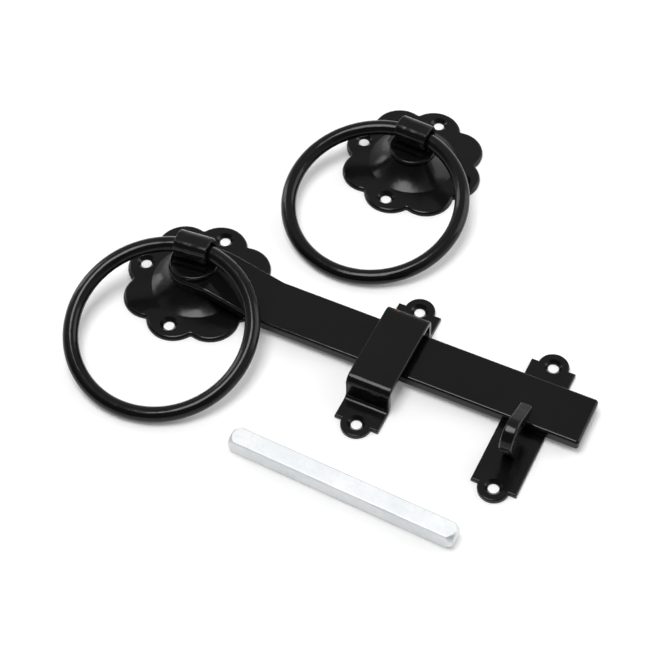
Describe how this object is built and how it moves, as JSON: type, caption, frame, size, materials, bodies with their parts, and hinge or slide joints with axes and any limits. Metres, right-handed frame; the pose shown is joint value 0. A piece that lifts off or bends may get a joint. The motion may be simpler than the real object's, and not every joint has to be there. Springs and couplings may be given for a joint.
{
  "type": "ring gate latch",
  "caption": "Ring gate latch set: scalloped roses with ring handles, a cranked lifting bar, a guide bridge, a hooked keep and a square spindle.",
  "frame": {"origin": "centre of the latch handle's rose on the gate face, on the axis that the latch handle turns about", "axes": "+Z out of the gate face, +X along the latch bar towards the keep, +Y up on the hung gate"},
  "size_m": [0.2144, 0.2082, 0.029],
  "materials": {
    "black_japan": "gloss black stoving finish on steel",
    "bright_zinc": "bright zinc plate on drawn steel"
  },
  "bodies": {
    "fixed_pieces": {"latch_rose": "black_japan", "plain_rose": "black_japan", "guide_bridge": "black_japan", "keep_plate": "black_japan", "keep_hook": "black_japan", "spindle": "bright_zinc"},
    "latch_handle": {"latch_hub": "black_japan", "latch_hub_washer": "black_japan", "latch_bar": "black_japan", "latch_ring_strap": "black_japan"},
    "latch_ring": {"latch_ring": "black_japan"},
    "plain_handle": {"plain_hub": "black_japan", "plain_hub_washer": "black_japan", "plain_ring_strap": "black_japan"},
    "plain_ring": {"plain_ring": "black_japan"}
  },
  "joints": [
    {"name": "latch_turn", "type": "hinge", "parent": "fixed_pieces", "child": "latch_handle", "pos_m": [0, 0, 0], "axis": [0, 0, 1], "range_deg": [-2.4, 1.05]},
    {"name": "latch_ring_swing", "type": "hinge", "parent": "latch_handle", "child": "latch_ring", "pos_m": [-0.00011, 0.0012, 0.02235], "axis": [-0.9962, -0.0872, 0], "range_deg": [0, 140]},
    {"name": "plain_turn", "type": "hinge", "parent": "fixed_pieces", "child": "plain_handle", "pos_m": [0.0545, 0.1015, 0], "axis": [0, 0, 1], "continuous": true},
    {"name": "plain_ring_swing", "type": "hinge", "parent": "plain_handle", "child": "plain_ring", "pos_m": [0.05457, 0.1027, 0.01735], "axis": [-0.9981, 0.061, 0], "range_deg": [0, 140]}
  ]
}
